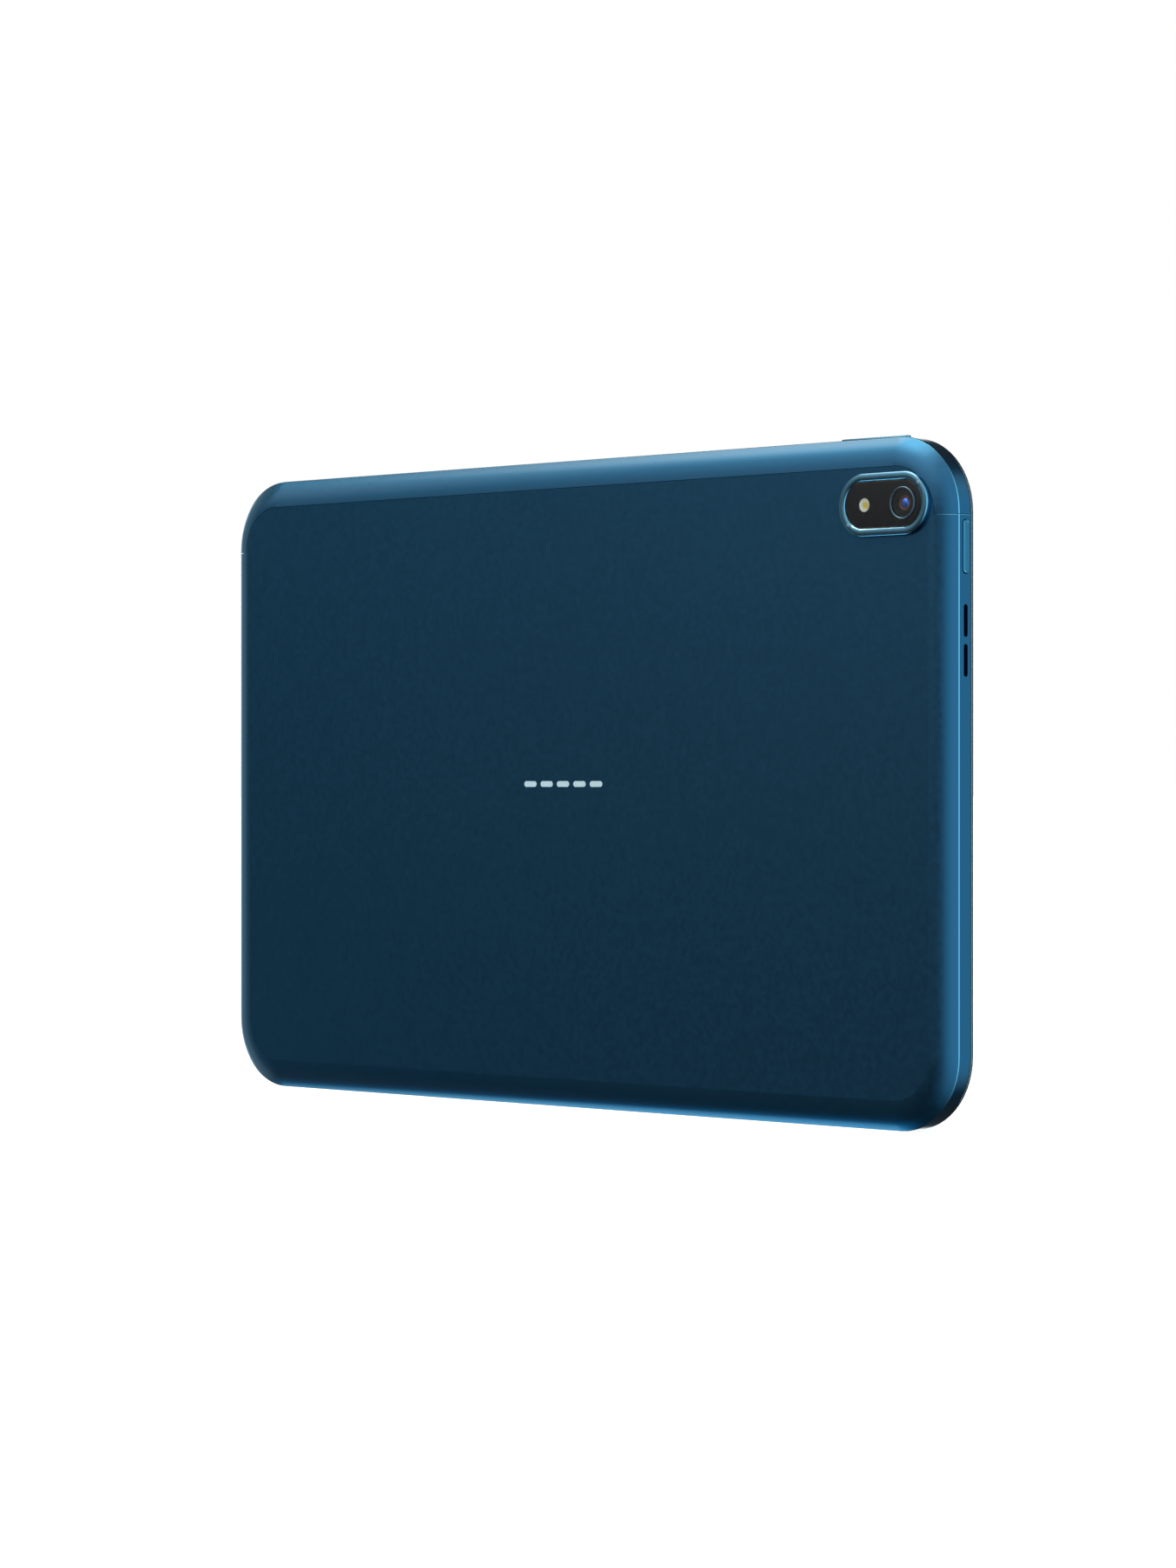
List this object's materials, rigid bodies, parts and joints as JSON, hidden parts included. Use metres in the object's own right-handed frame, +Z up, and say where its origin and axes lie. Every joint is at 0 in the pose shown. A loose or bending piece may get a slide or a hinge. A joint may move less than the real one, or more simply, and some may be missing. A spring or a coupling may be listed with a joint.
{
  "type": "tablet computer",
  "caption": "Slim tablet computer with a rounded metal back, a raised camera island, side speaker slots and sprung side keys.",
  "frame": {"origin": "middle of the body's thickness and width, on its long lower edge", "axes": "+X along the width, to the right seen from the screen side; +Y out of the rear face; +Z up the height"},
  "size_m": [0.2479, 0.0089, 0.1579],
  "materials": {
    "body_metal": "deep blue anodised, finely blasted",
    "cap_plastic": "deep blue paint matched to the metal",
    "ring_metal": "deep blue anodised, bright cut edge",
    "key_metal": "deep blue anodised",
    "tray_metal": "deep blue anodised",
    "frame_black": "moulded black",
    "plate_steel": "rolled sheet",
    "front_glass": "polished, clear",
    "border_black": "black print behind the glass",
    "tape_black": "thin foam tape",
    "screen_dark": "switched-off screen",
    "backlight_white": "white reflector",
    "flex_amber": "polyimide film",
    "camera_black": "moulded black",
    "lens_glass": "coated",
    "sensor_dark": "silicon",
    "window_glass": "polished",
    "print_black": "black print behind the window",
    "trim_metal": "turned ring",
    "flash_clear": "ribbed clear moulding",
    "flash_yellow": "phosphor",
    "switch_black": "moulded",
    "bracket_steel": "pressed sheet",
    "speaker_black": "moulded black",
    "driver_steel": "pressed basket",
    "cone_grey": "film membrane",
    "mesh_dark": "fine woven mesh",
    "board_blue": "solder mask",
    "connector_cream": "moulded",
    "chip_black": "moulded package",
    "shield_steel": "tinned sheet",
    "graphite": "graphite film",
    "battery_foil": "laminated foil pouch",
    "usb_steel": "drawn shell",
    "usb_black": "moulded with plated contacts",
    "contact_gold": "plated",
    "badge_grey": "bright inlay",
    "screw_steel": "blackened"
  },
  "bodies": {
    "body": {"antenna_cap": "cap_plastic", "antennas": "contact_gold", "backlight": "backlight_white", "battery_board": "board_blue", "battery_cells": "battery_foil", "battery_flex": "flex_amber", "battery_tape": "tape_black", "bezel_tape": "tape_black", "board_connectors": "connector_cream", "board_screws": "screw_steel", "camera_body": "camera_black", "camera_flex": "flex_amber", "camera_ring": "ring_metal", "camera_window": "window_glass", "card_reader": "speaker_black", "display_flex": "flex_amber", "flash_led": "flash_yellow", "flash_lens": "flash_clear", "front_camera": "camera_black", "front_camera_lens": "lens_glass", "front_glass": "front_glass", "heat_spreader": "graphite", "image_sensor": "sensor_dark", "key_switches": "switch_black", "lens_trim": "trim_metal", "light_sensor": "sensor_dark", "main_board": "board_blue", "microphone": "usb_steel", "mid_frame": "frame_black", "mid_plate": "plate_steel", "power_bracket": "bracket_steel", "power_flex": "flex_amber", "processor": "chip_black", "reader_contacts": "contact_gold", "rear_badge": "badge_grey", "rear_cover": "body_metal", "screen_border": "border_black", "screen_cell": "screen_dark", "shields": "shield_steel", "socket_board": "board_blue", "socket_flex": "flex_amber", "speaker_box_left": "speaker_black", "speaker_box_right": "speaker_black", "speaker_cones": "cone_grey", "speaker_drivers": "driver_steel", "speaker_meshes": "mesh_dark", "support_chips": "chip_black", "usb_shell": "usb_steel", "usb_tongue": "usb_black", "volume_bracket": "bracket_steel", "volume_flex": "flex_amber", "window_print": "print_black"},
    "power_key": {"power_button": "key_metal", "power_plunger": "switch_black"},
    "volume_key": {"volume_rocker": "key_metal", "volume_plungers": "switch_black"},
    "tray": {"card_tray": "tray_metal"},
    "lens": {"lens_barrel": "camera_black", "lens_elements": "lens_glass"}
  },
  "joints": [
    {"name": "power_press", "type": "slide", "parent": "body", "child": "power_key", "axis": [1, 0, 0], "range_m": [0, 0.00025], "stiffness_N_per_m": 6000},
    {"name": "volume_rock", "type": "hinge", "parent": "body", "child": "volume_key", "pos_m": [-0.0971, -0.00095, 0.15518], "axis": [0, 1, 0], "range_deg": [-1.3, 1.3], "stiffness_Nm_per_rad": 0.55},
    {"name": "tray_slide", "type": "slide", "parent": "body", "child": "tray", "axis": [1, 0, 0], "range_m": [0, 0.019]},
    {"name": "focus_slide", "type": "slide", "parent": "body", "child": "lens", "axis": [0, 1, 0], "range_m": [0, 0.00025], "stiffness_N_per_m": 150}
  ]
}
